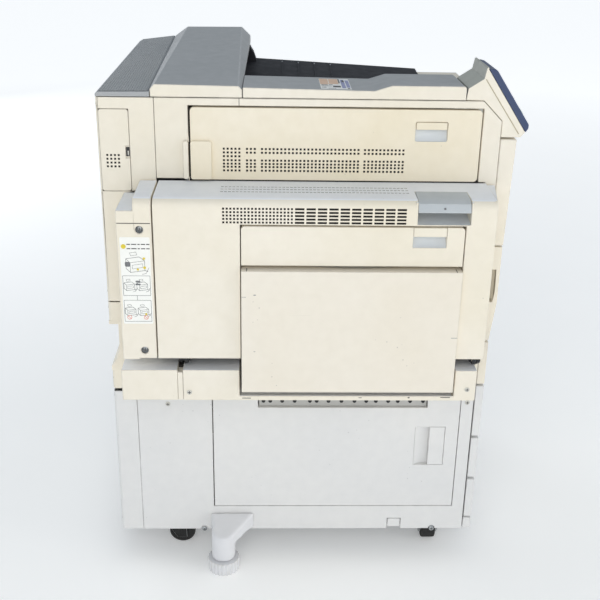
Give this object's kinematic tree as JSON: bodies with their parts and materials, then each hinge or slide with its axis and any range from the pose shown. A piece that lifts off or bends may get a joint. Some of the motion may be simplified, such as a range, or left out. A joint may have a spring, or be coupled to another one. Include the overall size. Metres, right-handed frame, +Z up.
{
  "type": "photocopier",
  "caption": "Floor-standing laser copier with tilting two-sided unit, bypass tray, hinged covers, sliding paper drawers, control panel, casters and a stabiliser foot.",
  "frame": {"origin": "centre of the bounding box's base, on the floor", "axes": "+Z up; the operator stands at -Y facing the drawers and the control panel; the two-sided unit and bypass tray are on the -X side"},
  "size_m": [0.66, 0.679, 0.9095],
  "materials": {
    "cream_plastic": "fine-textured moulded cream plastic",
    "warm_cream_plastic": "sun-aged warm cream plastic",
    "cool_white_paint": "powder-coated pale grey-white",
    "top_grey_plastic": "mid grey textured plastic",
    "pale_grey_plastic": "light grey plastic",
    "dark_plastic": "near-black textured plastic",
    "navy_plastic": "dark blue-grey satin plastic",
    "black_plastic": "black plastic",
    "steel": "zinc-plated sheet steel",
    "rubber": "matt black rubber",
    "foot_plastic": "smooth light grey plastic",
    "green_plastic": "green key",
    "toner_cyan": "cyan cap",
    "toner_magenta": "magenta cap",
    "toner_yellow": "yellow cap",
    "toner_black": "black cap"
  },
  "bodies": {
    "machine": {"bank_frame": "steel", "bank_side_cover": "cool_white_paint", "bank_rear_cover": "cool_white_paint", "bank_far_cover": "cool_white_paint", "bank_front_strip": "cool_white_paint", "bank_feed_guide": "pale_grey_plastic", "stabiliser_arm": "foot_plastic", "main_frame": "steel", "inner_front_panel": "pale_grey_plastic", "toner_bottle_1": "toner_cyan", "toner_bottle_2": "toner_magenta", "toner_bottle_3": "toner_yellow", "toner_bottle_4": "toner_black", "fuser_housing": "black_plastic", "transfer_unit": "black_plastic", "side_surround": "cream_plastic", "rear_cover": "cream_plastic", "rear_lower_cover": "cream_plastic", "far_cover": "cream_plastic", "front_top_cover": "cream_plastic", "exhaust_hood": "top_grey_plastic", "top_grille": "top_grey_plastic", "top_rim": "top_grey_plastic", "output_tray": "dark_plastic", "panel_housing": "cream_plastic", "panel_face": "navy_plastic", "duplex_end_cover": "cream_plastic", "skirt_rear": "cream_plastic", "skirt_front": "cream_plastic"},
    "upper_door": {"upper_door": "warm_cream_plastic"},
    "upper_door_latch": {"upper_door_latch": "warm_cream_plastic"},
    "service_door": {"service_door": "cream_plastic"},
    "duplex_unit": {"duplex_unit": "cream_plastic", "duplex_guide": "black_plastic"},
    "duplex_lever": {"duplex_lever": "pale_grey_plastic"},
    "bypass_unit": {"bypass_unit": "cream_plastic"},
    "bypass_latch": {"bypass_latch": "cream_plastic"},
    "bypass_tray": {"bypass_tray": "cream_plastic"},
    "upper_front_cover": {"upper_front_cover": "cream_plastic"},
    "lower_front_cover": {"lower_front_cover": "cream_plastic"},
    "tray_1": {"tray_1": "cream_plastic"},
    "tray_2": {"tray_2": "cool_white_paint"},
    "tray_3": {"tray_3": "cool_white_paint"},
    "tray_4": {"tray_4": "cool_white_paint"},
    "bank_door": {"bank_door": "cool_white_paint"},
    "bank_door_latch": {"bank_door_latch": "cool_white_paint"},
    "key_start": {"key_start": "green_plastic"},
    "key_stop": {"key_stop": "dark_plastic"},
    "caster_near_rear_fork": {"caster_near_rear_fork": "steel"},
    "caster_near_rear_wheel": {"caster_near_rear_wheel": "rubber"},
    "caster_near_front_fork": {"caster_near_front_fork": "steel"},
    "caster_near_front_wheel": {"caster_near_front_wheel": "rubber"},
    "caster_far_rear_fork": {"caster_far_rear_fork": "steel"},
    "caster_far_rear_wheel": {"caster_far_rear_wheel": "rubber"},
    "caster_far_front_fork": {"caster_far_front_fork": "steel"},
    "caster_far_front_wheel": {"caster_far_front_wheel": "rubber"},
    "stabiliser_ring": {"stabiliser_ring": "foot_plastic"},
    "fuser_roller": {"fuser_roller": "steel"},
    "pressure_roller": {"pressure_roller": "rubber"},
    "exit_roller": {"exit_roller": "rubber"}
  },
  "joints": [
    {"name": "upper_door_swing", "type": "hinge", "parent": "machine", "child": "upper_door", "pos_m": [-0.228, 0.195, 0.785], "axis": [0, 0, -1], "range_deg": [0, 90]},
    {"name": "upper_door_latch_pull", "type": "hinge", "parent": "upper_door", "child": "upper_door_latch", "pos_m": [-0.219, -0.185, 0.822], "axis": [0, 1, 0], "range_deg": [0, 12], "stiffness_Nm_per_rad": 0.6},
    {"name": "service_door_swing", "type": "hinge", "parent": "machine", "child": "service_door", "pos_m": [-0.22, 0.3362, 0.773], "axis": [0, 0, -1], "range_deg": [0, 95]},
    {"name": "duplex_unit_tilt", "type": "hinge", "parent": "machine", "child": "duplex_unit", "pos_m": [-0.305, 0, 0.452], "axis": [0, -1, 0], "range_deg": [0, 36]},
    {"name": "duplex_lever_lift", "type": "hinge", "parent": "duplex_unit", "child": "duplex_lever", "pos_m": [-0.273, -0.198, 0.7235], "axis": [0, 1, 0], "range_deg": [0, 15], "stiffness_Nm_per_rad": 0.6},
    {"name": "bypass_unit_tilt", "type": "hinge", "parent": "duplex_unit", "child": "bypass_unit", "pos_m": [-0.322, 0, 0.412], "axis": [0, -1, 0], "range_deg": [0, 12]},
    {"name": "bypass_latch_pull", "type": "hinge", "parent": "bypass_unit", "child": "bypass_latch", "pos_m": [-0.3175, -0.178, 0.6805], "axis": [0, 1, 0], "range_deg": [0, 15], "stiffness_Nm_per_rad": 0.6},
    {"name": "bypass_tray_open", "type": "hinge", "parent": "bypass_unit", "child": "bypass_tray", "pos_m": [-0.324, 0, 0.408], "axis": [0, -1, 0], "range_deg": [0, 55]},
    {"name": "upper_front_cover_open", "type": "hinge", "parent": "machine", "child": "upper_front_cover", "pos_m": [0, -0.318, 0.619], "axis": [1, 0, 0], "range_deg": [0, 80]},
    {"name": "lower_front_cover_swing", "type": "hinge", "parent": "machine", "child": "lower_front_cover", "pos_m": [0.33, -0.317, 0.532], "axis": [0, 0, 1], "range_deg": [0, 110]},
    {"name": "tray_1_pull", "type": "slide", "parent": "machine", "child": "tray_1", "axis": [0, -1, 0], "range_m": [0, 0.4]},
    {"name": "tray_2_pull", "type": "slide", "parent": "machine", "child": "tray_2", "axis": [0, -1, 0], "range_m": [0, 0.4]},
    {"name": "tray_3_pull", "type": "slide", "parent": "machine", "child": "tray_3", "axis": [0, -1, 0], "range_m": [0, 0.4]},
    {"name": "tray_4_pull", "type": "slide", "parent": "machine", "child": "tray_4", "axis": [0, -1, 0], "range_m": [0, 0.4]},
    {"name": "bank_door_swing", "type": "hinge", "parent": "machine", "child": "bank_door", "pos_m": [-0.22, 0.1674, 0.225], "axis": [0, 0, -1], "range_deg": [0, 90]},
    {"name": "bank_door_latch_pull", "type": "hinge", "parent": "bank_door", "child": "bank_door_latch", "pos_m": [-0.2175, -0.246, 0.235], "axis": [0, 0, 1], "range_deg": [0, 12], "stiffness_Nm_per_rad": 0.6},
    {"name": "key_start_press", "type": "slide", "parent": "machine", "child": "key_start", "axis": [0, 0.8275, -0.5615], "range_m": [0, 0.0015], "stiffness_N_per_m": 300},
    {"name": "key_stop_press", "type": "slide", "parent": "machine", "child": "key_stop", "axis": [0, 0.8275, -0.5615], "range_m": [0, 0.0015], "stiffness_N_per_m": 300},
    {"name": "caster_near_rear_swivel", "type": "hinge", "parent": "machine", "child": "caster_near_rear_fork", "pos_m": [-0.168, 0.249, 0.058], "axis": [0, 0, 1], "continuous": true},
    {"name": "caster_near_rear_roll", "type": "hinge", "parent": "caster_near_rear_fork", "child": "caster_near_rear_wheel", "pos_m": [-0.168, 0.232, 0.0245], "axis": [1, 0, 0], "continuous": true},
    {"name": "caster_near_front_swivel", "type": "hinge", "parent": "machine", "child": "caster_near_front_fork", "pos_m": [-0.178, -0.24, 0.058], "axis": [0, 0, 1], "continuous": true},
    {"name": "caster_near_front_roll", "type": "hinge", "parent": "caster_near_front_fork", "child": "caster_near_front_wheel", "pos_m": [-0.161, -0.24, 0.0245], "axis": [0, 1, 0], "continuous": true},
    {"name": "caster_far_rear_swivel", "type": "hinge", "parent": "machine", "child": "caster_far_rear_fork", "pos_m": [0.278, 0.249, 0.058], "axis": [0, 0, 1], "continuous": true},
    {"name": "caster_far_rear_roll", "type": "hinge", "parent": "caster_far_rear_fork", "child": "caster_far_rear_wheel", "pos_m": [0.278, 0.232, 0.0245], "axis": [1, 0, 0], "continuous": true},
    {"name": "caster_far_front_swivel", "type": "hinge", "parent": "machine", "child": "caster_far_front_fork", "pos_m": [0.286, -0.24, 0.058], "axis": [0, 0, 1], "continuous": true},
    {"name": "caster_far_front_roll", "type": "hinge", "parent": "caster_far_front_fork", "child": "caster_far_front_wheel", "pos_m": [0.303, -0.24, 0.0245], "axis": [0, 1, 0], "continuous": true},
    {"name": "stabiliser_ring_turn", "type": "hinge", "parent": "machine", "child": "stabiliser_ring", "pos_m": [-0.257, 0.15, 0.012], "axis": [0, 0, 1], "continuous": true},
    {"name": "fuser_roller_turn", "type": "hinge", "parent": "machine", "child": "fuser_roller", "pos_m": [-0.13, -0.026, 0.782], "axis": [0, 1, 0], "continuous": true},
    {"name": "pressure_roller_turn", "type": "hinge", "parent": "machine", "child": "pressure_roller", "pos_m": [-0.171, -0.026, 0.782], "axis": [0, 1, 0], "continuous": true},
    {"name": "exit_roller_turn", "type": "hinge", "parent": "machine", "child": "exit_roller", "pos_m": [-0.12, -0.026, 0.845], "axis": [0, 1, 0], "continuous": true}
  ],
  "couplings": [
    {"joint": "pressure_roller_turn", "follows": "fuser_roller_turn", "ratio": -0.95122},
    {"joint": "exit_roller_turn", "follows": "fuser_roller_turn", "ratio": 2.4375}
  ]
}
